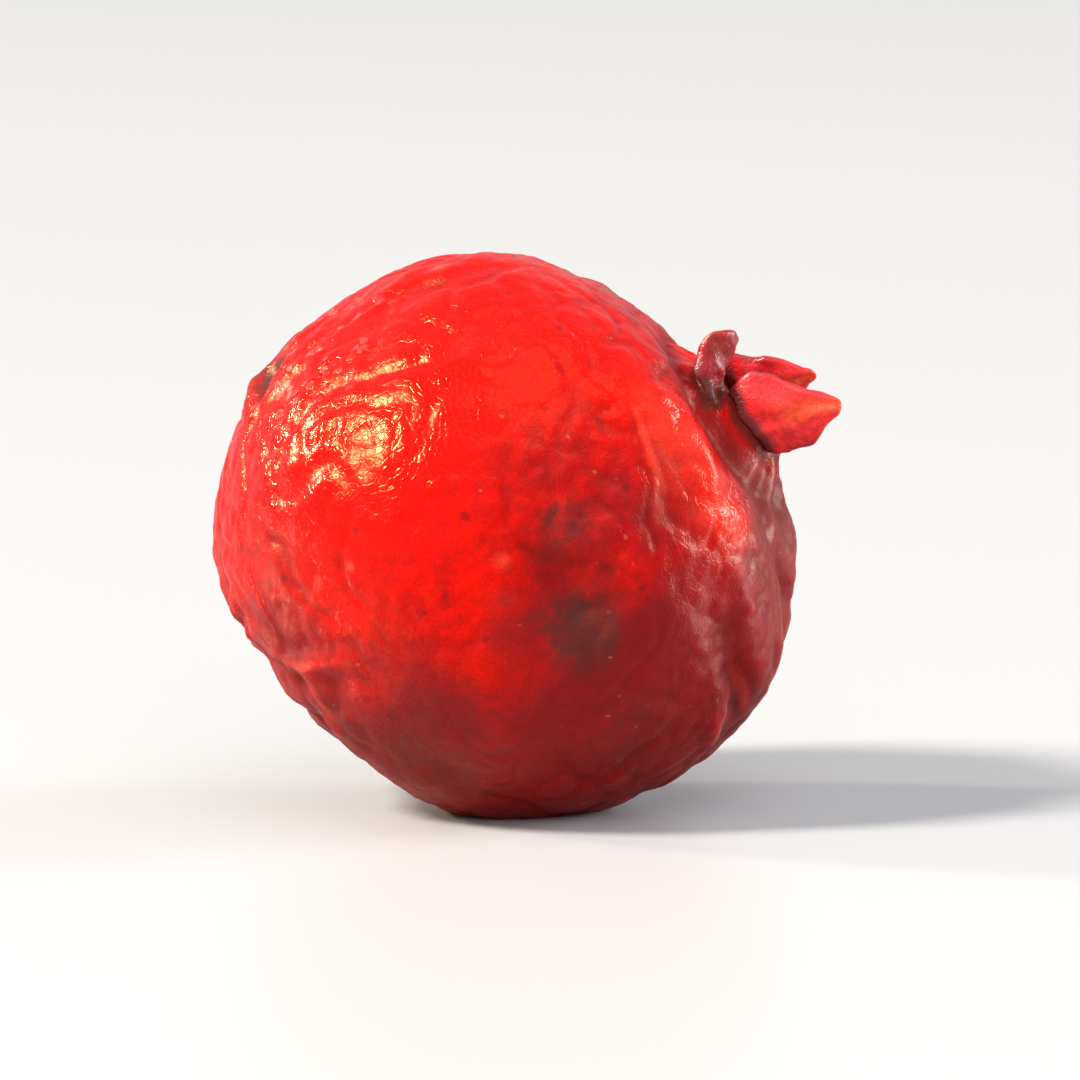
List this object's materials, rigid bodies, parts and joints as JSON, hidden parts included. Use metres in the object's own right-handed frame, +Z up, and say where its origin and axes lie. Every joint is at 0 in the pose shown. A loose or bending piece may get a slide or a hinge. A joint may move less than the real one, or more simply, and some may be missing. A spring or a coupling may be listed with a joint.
{
  "type": "dried cranberry",
  "caption": "Whole dried cranberry: a round, creased red fruit with curled calyx lobes at the blossom end and a drawn-in stem scar, lying loose on a small flat spot.",
  "frame": {"origin": "middle of the bounding box at its base, in the plane of the flat spot that the berry rests on", "axes": "+Z up from the surface it rests on, +X toward the blossom end with its calyx lobes, -Y toward the viewer of the picture"},
  "size_m": [0.0178, 0.0164, 0.0159],
  "materials": {
    "skin": "satin, thin glossy skin that lets some light through"
  },
  "bodies": {
    "root": {"cranberry": "skin"}
  },
  "joints": []
}
